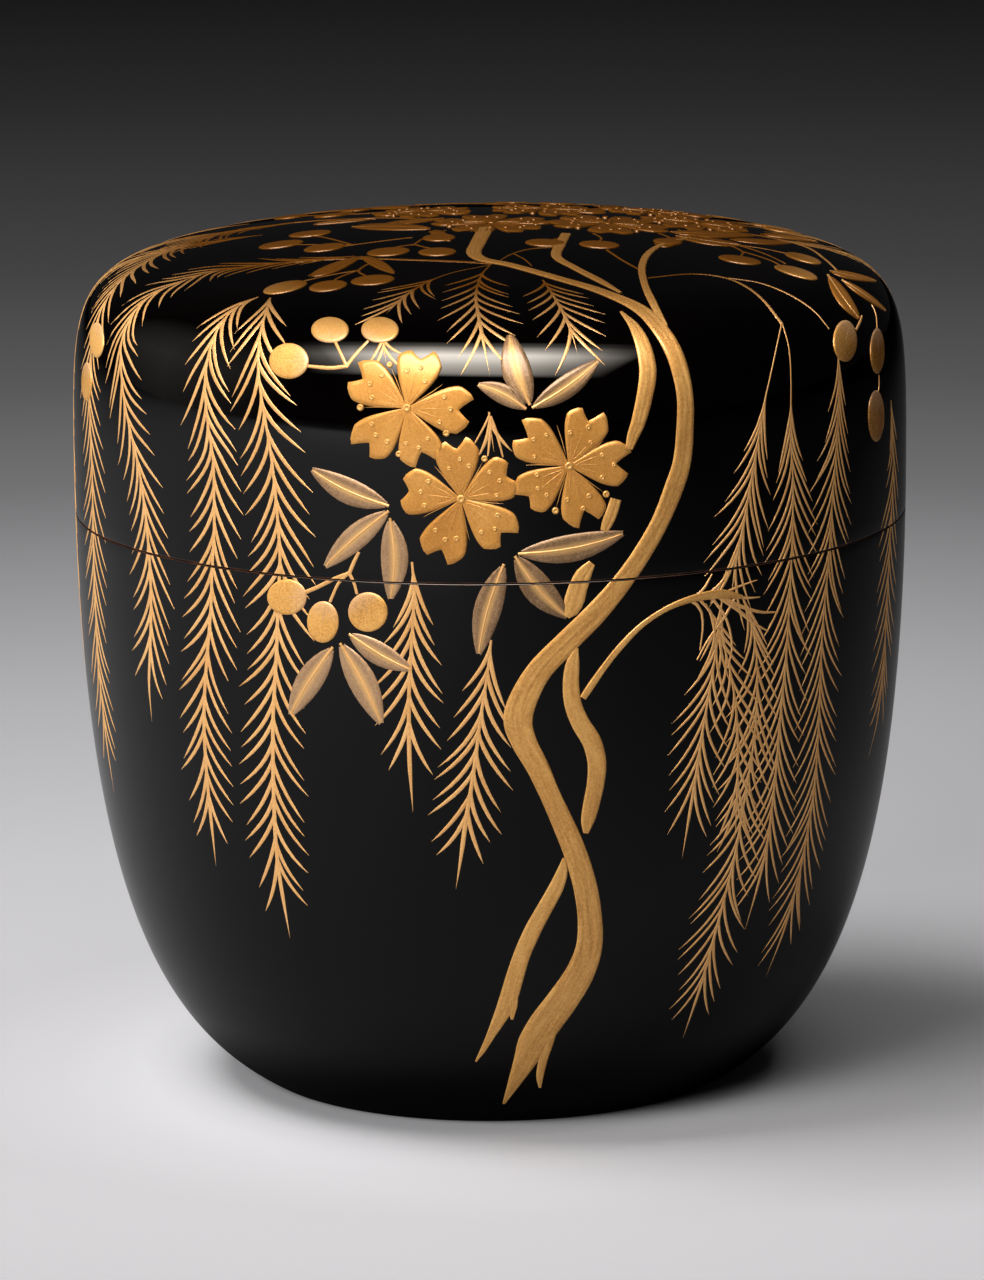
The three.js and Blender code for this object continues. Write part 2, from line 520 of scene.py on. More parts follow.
def bodyOutline():
    seam, edge, ring = form["seam"], lidTurning["edge"], form["foot"] - bodyTurning["ringWidth"]
    seamRadius = radiusAt(seam)
    lip = lidTurning["bore"] - bodyTurning["clearance"]
    mouth, lipTop = lip - bodyTurning["lipWall"], seam + lidTurning["lipHeight"]
    lipEdge = bodyTurning["lipEdge"]
    recess, floor = bodyTurning["recess"], bodyTurning["recess"] + bodyTurning["floor"]
    wall = wallRun(seam - edge, edge, bodyTurning["wallSteps"])[::-1]
    depth = seamRadius - mouth
    inner = wallRun(seam, floor + 1 * mm, bodyTurning["insideSteps"], lambda radius: 0 * radius + depth)
    inner = inner[inner[:, 1] > floor + bodyTurning["fillet"] * 0.45]
    corner = softCorner(inner[-1], (inner[-1, 0] - 2.2 * mm, floor), (inner[-1, 0] - 5.5 * mm, floor), 10)
    return np.concatenate([
        [(0, recess), (ring - recess, recess)],
        softCorner((ring - 0.1 * mm, 0.1 * mm), (ring, 0), (ring + 0.1 * mm, 0), 3),
        softCorner((form["foot"] - edge, 0), (form["foot"], 0), wall[0]),
        wall[1:],
        softCorner(wall[-1], (seamRadius, seam), (seamRadius - edge, seam))[1:],
        softCorner((lip + 0.05 * mm, seam), (lip, seam), (lip, seam + 0.05 * mm), 3),
        softCorner((lip, lipTop - lipEdge), (lip, lipTop), (lip - lipEdge, lipTop)),
        softCorner((mouth + lipEdge, lipTop), (mouth, lipTop), (mouth, lipTop - lipEdge)),
        inner,
        corner[1:],
        [(0, floor)],
    ])


# The rounded edges at the seam get the brown rim colour: rubbed wear and a painted glint.
def dressShell(shell, node):
    seam, edge = form["seam"], lidTurning["edge"]
    shell.data.materials.append(lacquer)
    shell.data.materials.append(edgeWearAndGlint)
    outer = lidTurning["bore"] + 0.2 * mm
    for face in shell.data.polygons:
        radius, above = face.center.xy.length, face.center.z - seam
        if radius > outer and -edge * 0.5 < above < edge + lidTurning["gap"]:
            face.material_index = 1
    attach(shell, "root")
    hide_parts(node)


dressShell(turnedShell("bodyShell", bodyOutline()), "body")
dressShell(turnedShell("lidShell", lidOutline()), "lid")
print("shells turned")


# Laying gold: closed strips and raised shapes that stand a hair above the lacquer

relief = {
    "sunk": 0.05 * mm,  # how far every raised shape reaches into the lacquer
    "across": (-1, -0.6, 0, 0.6, 1),
    "rise": (0, 0.8, 1, 0.8, 0),
    "seamGap": 0.10 * mm,
}


def newSheet():
    return {"points": [], "quads": [], "caps": [], "laid": [], "count": 0}


# Adds a closed strip of rings. The grid is (rings, points of each ring, 3).
def addStrip(sheet, grid, laid):
    rings, across = grid.shape[:2]
    index = np.arange(rings * across).reshape(rings, across) + sheet["count"]
    turned = np.roll(index, -1, axis=1)
    quads = np.stack([index[:-1], index[1:], turned[1:], turned[:-1]], axis=-1).reshape(-1, 4)
    sheet["points"].append(grid.reshape(-1, 3))
    sheet["laid"].append(laid.reshape(-1, 3))
    sheet["quads"].append(quads)
    sheet["caps"] += [tuple(index[0]), tuple(index[-1][::-1])]
    sheet["count"] += rings * across


# A stroke of the brush along a line on the form. Widths and heights are per point.
def addStroke(sheet, line, halfWidth, height, base=0.0, tone=0.5, across=None, rise=None):
    across = np.array(relief["across"] if across is None else across)
    rise = np.array(relief["rise"] if rise is None else rise)
    halfWidth = np.broadcast_to(halfWidth, len(line))
    height = np.broadcast_to(height, len(line))
    heading = np.gradient(line, axis=0)
    heading /= np.linalg.norm(heading, axis=1)[:, None]
    normal = onForm(line)[1]
    side = np.cross(normal, heading)
    side /= np.linalg.norm(side, axis=1)[:, None]
    out = across[None, :] * halfWidth[:, None]
    points = line[:, None] + side[:, None] * out[..., None]
    lift = base - relief["sunk"] + (height[:, None] + relief["sunk"]) * rise[None, :]
    laid = np.stack(np.broadcast_arrays(runOf(line)[:, None] / mm, out / mm, tone), axis=-1)
    addStrip(sheet, onForm(points, lift)[0], laid)


# A raised shape drawn in the flat, in millimetres, as rows of points from its root to its tip.
# The spot carries the flat drawing onto the form, and the rises are shares of the height.
def addShape(sheet, spot, rows, rises, height, base=0.0, tone=0.5, marks=None):
    count, across = rows.shape[:2]
    grid = spot(rows.reshape(-1, 2)).reshape(count, across, 3)
    lift = base - relief["sunk"] + (height + relief["sunk"]) * rises
    grid = onForm(grid, lift)[0]
    marks = rows if marks is None else marks
    addStrip(sheet, grid, np.concatenate([marks, np.full((count, across, 1), tone)], axis=-1))


# Ways to carry a flat drawing, in millimetres with y up, onto the form
pixelsPerMm = 12.6


def turnFlat(x, y, turn, size=1.0):
    c, s = math.cos(math.radians(turn)) * size, math.sin(math.radians(turn)) * size
    return x * c - y * s, x * s + y * c


def spotInPhoto(x, y, turn=0.0, size=1.0):
    def carry(flat):
        across, up = turnFlat(*flat.T, turn, size)
        return fromPhoto(np.column_stack([x + across * pixelsPerMm, y - up * pixelsPerMm]))
    return carry


def spotInPlan(x, y, turn=0.0, size=1.0):
    def carry(flat):
        across, up = turnFlat(*flat.T, turn, size)
        return fromPlan(np.column_stack([x + across, y + up]))
    return carry


# The willow: hanging fronds, each a stem with long narrow leaves that leave it on both sides

frondShape = {
    "spacing": 1.62 * mm,
    "reach": 2.75 * mm,
    "drop": 4.6 * mm,
    "flare": 1.75,
    "growing": 5 * mm,  # from the first leaf down to those of full size
    "lastReach": 0.62, "waning": 14 * mm,  # the reach of the last one, and how slowly they shrink towards it
    "tail": 6.2 * mm,  # the bare end of the stem, one long straight leaf
    "taper": 4 * mm,  # about how long its point is
    "halfWidth": 0.22 * mm,
    "height": 0.03 * mm,
    "points": 8,
}


# All after the seed are shares: leafFrom of the stem's length, first of a leaf's full size, where the
# leaves begin, and the others of the sizes above.
def addFrond(sheet, stem, seed, leafFrom=0.0, reach=1.0, drop=1.0, spacing=1.0, width=1.0, first=0.4,
             tail=1.0):
    draw = random.Random(seed)
    stem = resample(stem, max(24, int(runOf(stem)[-1] / (0.5 * mm))))
    run = runOf(stem)
    length = run[-1]
    heading = np.gradient(stem, axis=0)
    heading /= np.linalg.norm(heading, axis=1)[:, None]
    side = np.cross(onForm(stem)[1], heading)
    half, height = frondShape["halfWidth"] * width, frondShape["height"]
    start, last = leafFrom * length, length - frondShape["tail"] * tail
    share = np.linspace(0, 1, frondShape["points"])
    swell = np.minimum(1, 0.55 + 1.6 * share) * (1 - share**4) ** 0.7 + 0.06
    for hand in (-1, 1):
        spot = start + draw.uniform(0, 0.6) * frondShape["spacing"] * spacing
        while spot < last:
            grown = min(1, first + (1 - first) * (spot - start) / frondShape["growing"])
            left = min(1, frondShape["lastReach"] + (last - spot) / frondShape["waning"])
            out = frondShape["reach"] * reach * grown * left * draw.uniform(0.85, 1.12)
            fall = frondShape["drop"] * drop * (0.7 + 0.3 * grown) * draw.uniform(0.88, 1.1)
            down = spot + fall * share
            line = readAt(down, run, stem) + np.maximum(down - length, 0)[:, None] * heading[-1]
            sway = out * (0.12 * share + 0.88 * share ** (frondShape["flare"] * draw.uniform(0.9, 1.12)))
            line = onForm(line + hand * readAt(down, run, side) * sway[:, None])[0]
            addStroke(sheet, line, half * swell, height * (0.4 + 0.6 * swell), tone=draw.random())
            spot += frondShape["spacing"] * spacing * draw.uniform(0.82, 1.2)
    # the stem itself, thicker along its bare end
    down = (run - start) / (length - start)
    swell = np.clip(0.65 + 0.6 * down, 0.55, 1.1)
    swell = swell * np.minimum(1, (1 - run / length) * length / frondShape["taper"] + 0.1)
    addStroke(sheet, stem, half * swell, height * swell, tone=draw.random())


# Stems that the photo shows, as its pixels from the top down, with how the leaves sit on each
photoFronds = {
    "farLeftOuter": dict(
        stem=[(300, 222), (255, 228), (215, 236), (180, 247), (150, 260), (125, 277), (108, 297), (98, 318),
              (92, 345), (89, 380), (90, 420), (92, 470), (93, 520), (94, 570), (96, 620), (98, 660),
              (102, 700), (107, 745), (114, 792)]),
    "farLeft": dict(
        stem=[(355, 256), (290, 262), (250, 266), (210, 272), (180, 282), (155, 293), (138, 307), (127, 325),
              (121, 345), (121, 370), (124, 400), (130, 430), (137, 460), (143, 495), (147, 530), (150, 570),
              (151, 610), (150, 650), (149, 685), (152, 722)]),
    "left": dict(
        stem=[(258, 297), (238, 306), (222, 322), (212, 342), (206, 368), (205, 392), (208, 425), (213, 460),
              (214, 500), (214, 535), (212, 570), (211, 605), (208, 645), (205, 685), (204, 725), (206, 765),
              (209, 800), (216, 866)], first=0.75),
    "middleLeft": dict(
        stem=[(270, 298), (266, 312), (260, 335), (258, 365), (261, 395), (266, 425), (271, 455), (275, 490),
              (278, 525), (280, 560), (278, 600), (277, 640), (275, 680), (273, 720), (273, 765), (274, 805),
              (276, 845), (280, 880), (290, 938)], reach=1.08, first=0.75),
    "underBlossoms": dict(
        stem=[(412, 562), (414, 590), (413, 620), (411, 655), (409, 695), (409, 735), (410, 770), (413, 812)],
        first=0.55),
    "besideTrunk": dict(
        stem=[(491, 640), (489, 662), (485, 690), (480, 722), (476, 755), (471, 790), (466, 820), (462, 850),
              (456, 889)], first=0.55, reach=1.08),
    "crownLeft": dict(stem=[(490, 265), (455, 272), (432, 280), (412, 291), (397, 303), (386, 314)],
                      leafFrom=0.38, reach=1.0, drop=0.8, spacing=0.72, first=0.8, tail=0.3, width=0.8),
    "crownMiddle": dict(stem=[(490, 265), (481, 276), (476, 295), (479, 318), (484, 345), (490, 376)],
                        leafFrom=0.12, reach=1.1, drop=0.85, spacing=0.9, first=0.8, tail=0.5, width=0.85),
    "crownRight": dict(stem=[(543, 280), (553, 295), (564, 314), (572, 334), (578, 355)],
                       reach=1.1, drop=0.8, spacing=0.85, first=0.7, tail=0.4, width=0.85),
    "betweenBlossoms": dict(stem=[(489, 412), (490, 424), (494, 452)], reach=0.75, drop=0.6,
                            spacing=0.55, first=0.9, tail=0.3, width=0.85),
    "underBud": dict(stem=[(383, 336), (384, 350), (386, 362)], reach=0.9, drop=0.5,
                     spacing=0.4, width=0.75, first=0.9, tail=0.2),
    "rightInner": dict(
        stem=[(782, 322), (776, 350), (770, 378), (765, 400), (760, 430), (754, 465), (748, 500), (742, 533),
              (736, 562), (731, 600)], leafFrom=0.28, width=0.75, spacing=0.85, drop=1.15, tail=0.5),
    "rightMiddle": dict(
        stem=[(782, 322), (789, 348), (791, 378), (791, 410), (791, 445), (793, 480), (793, 515), (792, 550),
              (790, 590), (788, 630), (785, 670), (781, 710), (777, 760), (773, 800), (767, 845), (758, 885),
              (745, 930)], leafFrom=0.12, width=0.75, spacing=0.86, drop=1.15),
    "rightOuter": dict(
        stem=[(838, 350), (839, 385), (838, 420), (836, 455), (833, 490), (831, 525), (829, 560), (825, 600),
              (822, 640), (820, 690), (818, 740), (814, 790), (807, 835), (798, 880), (784, 930), (766, 977)],
        width=0.75, spacing=0.86, drop=1.15),
    "rightLow": dict(
        stem=[(722, 600), (719, 630), (714, 665), (708, 700), (702, 735), (697, 770), (690, 812), (682, 859)],
        width=0.78, spacing=0.88, drop=1.1),
    "rightLong": dict(
        stem=[(742, 596), (752, 625), (757, 660), (757, 700), (754, 740), (748, 780), (742, 815), (735, 855),
              (724, 900), (712, 945), (701, 985), (683, 1038)], width=0.78, spacing=0.88, drop=1.1),
    "rightBetween": dict(
        stem=[(706, 604), (722, 640), (732, 680), (737, 720), (738, 760), (737, 800), (735, 840)],
        width=0.75, reach=0.9, tail=0.5),
    "farRight": dict(
        stem=[(891, 400), (893, 440), (893, 480), (891, 520), (889, 560), (887, 600), (885, 640), (882, 680),
              (877, 722), (868, 759)], width=0.9),
}

# Stems on the hidden side: the turn of each in degrees, and the height in mm where it ends
backFronds = {
    "turns": (98, 111, 123, 136, 150, 163, 177, 190, 204, 217, 231, 244, 257, 270),
    "ends": (17, 12, 21, 9, 26, 14, 30, 11, 19, 25, 8, 22, 13, 20),
    "crownStart": 21, "crownSpread": 3,  # how far from the middle of the top they set out, in mm
    "crownEnd": 26,  # and where they leave it
    "lean": 6,  # degrees
    "wallTop": 62,  # the height where they reach the wall
    "sway": 2.2, "swayTurns": 2.2 * math.pi,  # to the sides, in degrees, and how far through its waves
    "bends": 7,
}


def layWillow():
    sheet = newSheet()
    for number, spec in enumerate(photoFronds.values()):
        settings = {key: value for key, value in spec.items() if key != "stem"}
        addFrond(sheet, fromPhoto(smoothLine(spec["stem"])), 11 + number, **settings)
    draw = random.Random(5)
    for number, (turn, end) in enumerate(zip(backFronds["turns"], backFronds["ends"])):
        start = backFronds["crownStart"] + draw.uniform(-backFronds["crownSpread"], backFronds["crownSpread"])
        lean = math.radians(turn - backFronds["lean"])
        reach, bends = backFronds["crownEnd"], backFronds["bends"]
        top = fromPlan([(start * math.sin(lean), -start * math.cos(lean)),
                        (reach * math.sin(lean + 0.05), -reach * math.cos(lean + 0.05))])
        heights = np.linspace(backFronds["wallTop"], end, bends)
        waves = np.linspace(0, backFronds["swayTurns"], bends) + draw.uniform(0, 6)
        sway = backFronds["sway"] * np.sin(waves)
        wall = fromWall(np.column_stack([turn + sway, heights]))
        addFrond(sheet, onForm(smoothLine(np.concatenate([top, wall])))[0], 70 + number)
    return sheet


# The trunk and its side shoots: (x, y, width) in pixels of the photo

trunkParts = {
    "main": [(486, 228, 17), (478, 243, 17), (474, 253, 16), (484, 260, 14), (510, 265, 12), (560, 279, 13),
             (600, 291, 15), (640, 309, 19), (663, 333, 20), (677, 360, 20), (685, 395, 19), (685, 430, 20),
             (682, 462, 21), (674, 488, 22), (661, 520, 20), (645, 549, 20), (624, 580, 21), (597, 612, 24),
             (566, 643, 25), (540, 670, 26), (524, 698, 29), (518, 720, 30), (524, 742, 26), (538, 768, 23),
             (551, 797, 21), (566, 830, 23), (577, 858, 24), (586, 890, 25), (590, 920, 26), (589, 948, 29),
             (579, 975, 33), (563, 1000, 36), (546, 1023, 37), (534, 1042, 34), (526, 1060, 26),
             (516, 1080, 16), (504, 1103, 3)],
    "mainFork": [(560, 1000, 4), (553, 1020, 14), (548, 1040, 14), (543, 1060, 10), (540, 1076, 8),
                 (540, 1087, 3)],
    "second": [(566, 234, 11), (560, 245, 12), (557, 257, 11), (575, 268, 10), (600, 281, 10),
               (621, 293, 3)],
    "upperLeft": [(621, 312, 3), (634, 326, 12), (643, 345, 17), (648, 370, 19), (645, 395, 18),
                  (639, 420, 16), (633, 436, 13), (629, 449, 8)],
    "chip": [(616, 499, 12), (612, 512, 13), (607, 524, 12), (604, 531, 8)],
    "acrossSeam": [(592, 563, 8), (584, 574, 17), (578, 588, 20), (574, 602, 21), (570, 613, 14),
                   (567, 617, 6)],
    "lowerRight": [(577, 648, 3), (573, 662, 14), (571, 682, 17), (573, 704, 18), (581, 724, 19),
                   (592, 742, 20), (597, 762, 20), (596, 782, 19), (592, 802, 18), (588, 820, 15),
                   (586, 833, 6)],
    "lowerLeft": [(564, 858, 3), (562, 872, 12), (556, 888, 16), (545, 908, 17), (533, 930, 18),
                  (522, 955, 18), (514, 980, 19), (507, 1003, 19), (498, 1022, 14), (490, 1037, 9),
                  (483, 1050, 6), (476, 1061, 2)],
    "lowerLeftFork": [(515, 976, 2), (514, 990, 8), (513, 1005, 10), (512, 1019, 3)],
    "twigRight": [(583, 698, 7), (591, 686, 8), (605, 666, 7), (622, 645, 7), (642, 625, 6), (668, 608, 6),
                  (695, 598, 8), (722, 594, 10), (742, 597, 4)],
    "crownTwig": [(690, 238, 3), (664, 244, 6), (648, 254, 8), (642, 268, 8), (645, 285, 8), (653, 303, 9),
                  (665, 326, 7)],
}
fineTwigs = {
    "toHangingFronds": [(648, 278, 3), (690, 274, 3), (722, 277, 4), (745, 286, 5), (764, 301, 5),
                        (782, 324, 6)],
    "toOuterFrond": [(728, 278, 3), (760, 283, 3), (790, 295, 4), (814, 311, 3), (829, 329, 2)],
    "crownLeftLine": [(492, 264, 5), (450, 261, 3), (420, 260, 3), (385, 259, 2)],
    "crownSmall": [(556, 247, 3), (530, 249, 3), (512, 254, 3), (501, 260, 2)],
    "crownSmallFork": [(514, 254, 2), (524, 259, 2), (532, 266, 2)],
    "crownRightLine": [(607, 250, 4), (622, 260, 4), (640, 270, 3)],
    "farRightLine": [(680, 236, 4), (715, 240, 4), (748, 248, 5), (770, 256, 3), (786, 264, 2)],
    "sprayA": [(690, 600, 4), (703, 590, 4), (712, 574, 2)],
    "sprayB": [(705, 597, 5), (718, 586, 4), (728, 573, 2)],
    "sprayC": [(722, 594, 4), (740, 586, 3), (757, 580, 1)],
    "sprayD": [(724, 594, 5), (744, 598, 4), (760, 597, 1)],
    "sprayE": [(722, 596, 5), (740, 606, 5), (760, 612, 4), (778, 612, 2)],
    "sprayF": [(720, 598, 5), (738, 610, 5), (752, 622, 4), (768, 631, 2)],
    "sprayG": [(690, 600, 5), (700, 608, 4), (703, 625, 3), (700, 650, 2)],
    "sprayH": [(700, 600, 4), (712, 615, 4), (714, 640, 3), (706, 664, 2)],
    "sprayI": [(735, 598, 4), (724, 618, 4), (708, 640, 3), (697, 660, 2)],
    "sprayJ": [(712, 598, 4), (726, 618, 4), (732, 645, 3), (728, 668, 2)],
    "fanLeft": [(490, 413, 2), (485, 425, 3), (475, 443, 2)],
    "fanMiddle": [(491, 416, 3), (490, 435, 4), (488, 456, 2)],
    "fanRight": [(491, 416, 2), (497, 434, 4), (503, 457, 2)],
}
barkShape = {
    "height": 0.10 * mm,
    "across": (-1, -0.86, -0.62, -0.40, -0.18, 0.05, 0.26, 0.45, 0.66, 0.86, 1),
    "rise": (0, 0.72, 0.96, 0.86, 0.98, 1.0, 0.84, 0.98, 0.94, 0.72, 0),
    "perMm": 2.2,
    "sideHeight": 0.88,  # of the side shoots, as a share
    "twigHeight": 0.04 * mm,
}


def photoStroke(sheet, spots, height, perMm=1.6, tone=0.5, **section):
    spots = smoothLine(spots)
    line = fromPhoto(spots[:, :2])
    run = runOf(line)
    count = max(6, int(run[-1] / mm * perMm))
    half = np.interp(np.linspace(0, run[-1], count), run, spots[:, 2]) / 2 / pixelsPerMm * mm
    addStroke(sheet, onForm(resample(line, count))[0], half, height, tone=tone, **section)


def layTrunk():
    sheet = newSheet()
    section = {key: barkShape[key] for key in ("across", "rise")}
    for number, (name, spots) in enumerate(trunkParts.items()):
        tall = barkShape["height"] * (1.0 if name == "main" else barkShape["sideHeight"])
        photoStroke(sheet, spots, tall, barkShape["perMm"], 0.2 + 0.06 * number, **section)
    return sheet


def layTwigs():
    sheet = newSheet()
    for number, spots in enumerate(fineTwigs.values()):
        photoStroke(sheet, spots, barkShape["twigHeight"], tone=(number * 0.37) % 1)
    return sheet


# Blossoms: five notched petals, fine veins, and stamens that end in small beads

blossomShape = {
    "length": 5.1,  # of a petal, in mm
    "halfWidth": 2.20,
    "side": (1.90, 0.77),  # where the rounded side ends: out in mm, up as a share of the length
    "lobe": 0.86,  # how far a lobe's tip stands out, in mm
    "notch": 0.20,  # as a share of the length
    "spread": 0.60,  # the slope of the petal's sides by the middle
    "height": 0.11 * mm,
    "rows": (0, 0.06, 0.16, 0.28, 0.40, 0.52, 0.64, 0.76, 0.87, 0.95, 1),
    "columns": (0, 0.16, 0.32, 0.5, 0.64, 0.78, 0.91, 1),
    "veins": (-0.5, -0.04, 0.42),  # the lean of each
    "veinHalfWidth": 0.04,
    "veinHeight": 0.014 * mm,
    "stamens": ((-0.62, 2.85), (0.05, 3.35), (0.66, 2.75)),  # the lean, and how far out the bead is
    "beadRadius": 0.23,
    "beadHeight": 0.07 * mm,
    "threadHalfWidth": 0.045,  # of the stamens between the petals
    "threadHeight": 0.04 * mm,
    "endBeads": (0.0, 0.28, 0.30),
    "endBeadHeight": 0.14 * mm,
    "heart": 0.38,
    "heartHeight": 0.16 * mm,
}
petalColumns = np.array(blossomShape["columns"])
petalAlong = np.array(blossomShape["rows"])[:, None]
petalAcross = np.concatenate([-petalColumns[:0:-1], petalColumns])[None, :]


def petalRows(draw):
    length, lobe = blossomShape["length"], blossomShape["lobe"]
    sideOut, sideUp = blossomShape["side"]
    far = np.abs(petalAcross)
    lobes = np.where(petalAcross < 0, draw.uniform(0.92, 1.03), draw.uniform(0.95, 1.05))
    notch = blossomShape["notch"] * draw.uniform(0.8, 1.2)
    outer = np.clip((far - 0.5) / 0.5, 0, 1)
    inner = np.clip(far / 0.5, 0, 1)
    endX = np.where(far < 0.5, lobe * inner, lobe + (sideOut - lobe) * outer**0.8)
    endY = np.where(far < 0.5, 1 - notch * (1 - inner**1.15), lobes - (lobes - sideUp) * outer**1.35)
    endY = np.where(far < 0.5, endY + (lobes - 1) * inner, endY)
    up = petalAlong * sideUp * length
    bell = blossomShape["halfWidth"] * draw.uniform(0.96, 1.03)
    bell = bell * (1 - 0.45 * np.maximum(0, petalAlong - 0.72) ** 1.2)
    wedge = blossomShape["spread"] * up + 0.05
    width = (wedge**-4.0 + bell**-4.0) ** -0.25
    x = np.sign(petalAcross) * endX * width / width[-1] + 0.0 * petalAlong
    lean = draw.uniform(-0.05, 0.05)
    y = petalAlong * endY * length + lean * x * petalAlong
    return np.stack(np.broadcast_arrays(x, y), axis=-1)


def petalRises():
    sides = np.clip((1 - np.abs(petalAcross)) / 0.09, 0, 1) ** 0.5
    edge = sides * np.clip((1 - petalAlong) / 0.05, 0, 1) ** 0.5
    bowl = 0.80 + 0.20 * petalAcross**2 * petalAlong + 0.12 * np.sin(petalAlong * math.pi)
    return edge * bowl * (0.8 + 0.2 * petalAlong)


# Low round or oval shapes as rings from the rim to the middle, each as (share of the radius, rise)
flatDisc = ((1, 0), (0.985, 0.55), (0.93, 0.9), (0.8, 1), (0.5, 1.03), (0.25, 1.03), (0.02, 1.03))
bead = ((1, 0), (0.9, 0.6), (0.65, 1), (0.35, 0.7), (0.05, 0.55))


def addDisc(sheet, spot, x, y, radiusX, radiusY, height, base=0.0, tone=0.5, turn=0.0, profile=bead,
            stalk=None):
    sectors = 36 if profile is flatDisc else 10
    turns = np.linspace(0, 2 * math.pi, sectors, endpoint=False)
    share, rise = (np.array(profile)[:, i][:, None] for i in (0, 1))
    across, up = turnFlat(radiusX * share * np.cos(turns), radiusY * share * np.sin(turns), turn)
    rows = np.stack([across + x, up + y], axis=-1)
    marks = None
    if stalk is not None:  # the way to the stalk, for the paler end
        toStalk = share * np.cos(turns + math.radians(turn - stalk))
        marks = np.stack([toStalk, 0 * toStalk], axis=-1)
    addShape(sheet, spot, rows, np.repeat(rise, sectors, axis=1), height, base, tone, marks)


def flatStroke(sheet, spot, spots, halfWidth, height, base=0.0, tone=0.5, steps=6):
    line = spot(resample(np.asarray(spots, float), steps))
    taper = np.sin(np.linspace(0.35, math.pi - 0.2, steps))
    addStroke(sheet, line, halfWidth * mm * taper, height * taper, base=base, tone=tone)


# The way in is spotInPhoto or spotInPlan.
def addBlossom(petals, details, wayIn, x, y, turn, seed, size=1.0):
    draw = random.Random(seed)
    rises, height = petalRises(), blossomShape["height"]
    top = 0.86 * height
    for number in range(5):
        tilt = turn + number * 72 + draw.uniform(-5, 5)
        spot = wayIn(x, y, tilt, size * draw.uniform(0.95, 1.04))
        addShape(petals, spot, petalRows(draw), rises, height * draw.uniform(0.9, 1.1), tone=draw.random())
        for lean in blossomShape["veins"]:
            reach = 2.9 - 0.9 * abs(lean) + draw.uniform(-0.5, 0.3)
            vein = smoothLine([(0.1 * lean, 0.55), (0.8 * lean, reach * 0.55), (1.5 * lean, reach)], 4)
            flatStroke(details, spot, vein, blossomShape["veinHalfWidth"], blossomShape["veinHeight"], top,
                       draw.random())
        for lean, reach in blossomShape["stamens"]:
            place = (1.45 * lean + draw.uniform(-0.15, 0.15), reach + draw.uniform(-0.3, 0.3))
            radius = blossomShape["beadRadius"] * draw.uniform(0.85, 1.1)
            addDisc(details, spot, *place, radius, radius, blossomShape["beadHeight"], top, 0.7)
        between = wayIn(x, y, tilt + 36 + draw.uniform(-4, 4), size)
        flatStroke(details, between, [(0, 0.9), (0.05, 2.2), (0, 3.4)], blossomShape["threadHalfWidth"],
                   blossomShape["threadHeight"], 0.0, 0.3)
        radius = draw.choice(blossomShape["endBeads"])
        if radius:
            addDisc(details, between, 0, 3.7, radius, radius, blossomShape["endBeadHeight"], 0.0, 0.8)
    heart = blossomShape["heart"]
    addDisc(details, wayIn(x, y, 0, size), 0, 0, heart, heart, blossomShape["heartHeight"], 0.0, 0.8)


photoBlossoms = {"upperLeft": (407, 408, -16), "middle": (461, 499, 10), "right": (569, 466, -19)}
# on top of the lid, in plan: x, y, turn, size
crownBlossoms = [
    (0.2, 0.4, 8, 0.98), (9.4, 1.4, 40, 1.0), (16.6, 6.2, 20, 0.95), (4.6, 10.2, 55, 1.0),
    (13.2, 13.4, 0, 0.92), (-5.2, 9.0, 30, 0.86),
]


def layBlossoms():
    petals, details = newSheet(), newSheet()
    for number, (x, y, turn) in enumerate(photoBlossoms.values()):
        addBlossom(petals, details, spotInPhoto, x, y, turn, 30 + number)
    for number, (x, y, turn, size) in enumerate(crownBlossoms):
        addBlossom(petals, details, spotInPlan, x, y, turn, 40 + number, size)
    return petals, details


# Leaves: silver powder with a gold midrib. In the photo: root, tip and half width, all in pixels

photoLeaves = {
    "aboveUp": ((530, 405), (507, 332), 15),
    "aboveRight": ((532, 408), (602, 360), 11.5),
    "aboveLeft": ((526, 409), (477, 382), 10),
    "leftUp": ((389, 506), (308, 470), 13),
    "leftLow": ((389, 511), (322, 568), 12.5),
    "leftDown": ((390, 518), (393, 602), 14),
    "belowRight": ((518, 554), (628, 535), 14),
    "belowRightDown": ((515, 556), (568, 621), 15),
    "belowDown": ((504, 564), (476, 657), 14),
    "lowLeft": ((333, 647), (288, 717), 13.5),
    "lowMiddle": ((340, 643), (384, 726), 14),
    "lowRight": ((349, 634), (413, 672), 11.5),
}
# those of gold, by the edge of the top
photoGoldLeaves = {
    "leftLong": ((309, 276), (362, 257), 4.2),
    "leftShort": ((361, 257), (396, 273), 4.2),
    "leftBack": ((352, 227), (434, 228), 3),
    "leftFar": ((430, 232), (452, 240), 4),
    "twig": ((655, 244), (684, 240), 4.2),
    "rightBack": ((670, 232), (758, 236), 2.8),
    "rightNext": ((676, 236), (744, 246), 3),
    "rightWide": ((828, 275), (860, 321), 6.5),
    "rightUpper": ((830, 271), (878, 282), 3.2),
    "rightLower": ((842, 280), (888, 312), 2.8),
}
# and further back, in plan
crownLeaves = [
    ((20.8, 11.0), (24.8, 13.2), 1.1), ((-9.0, 5.6), (-14.2, 5.0), 1.1), ((19.0, -1.6), (24.0, 0.8), 1.1),
    ((-6.4, 14.4), (-9.6, 18.6), 1.1), ((1.4, 16.6), (0.2, 21.8), 1.1), ((9.0, 17.6), (10.8, 22.6), 1.1),
    ((17.8, 16.8), (21.8, 19.4), 1.05), ((-3.6, 3.4), (-9.0, 0.8), 1.0), ((21.6, 3.6), (26.4, 5.4), 1.1),
]


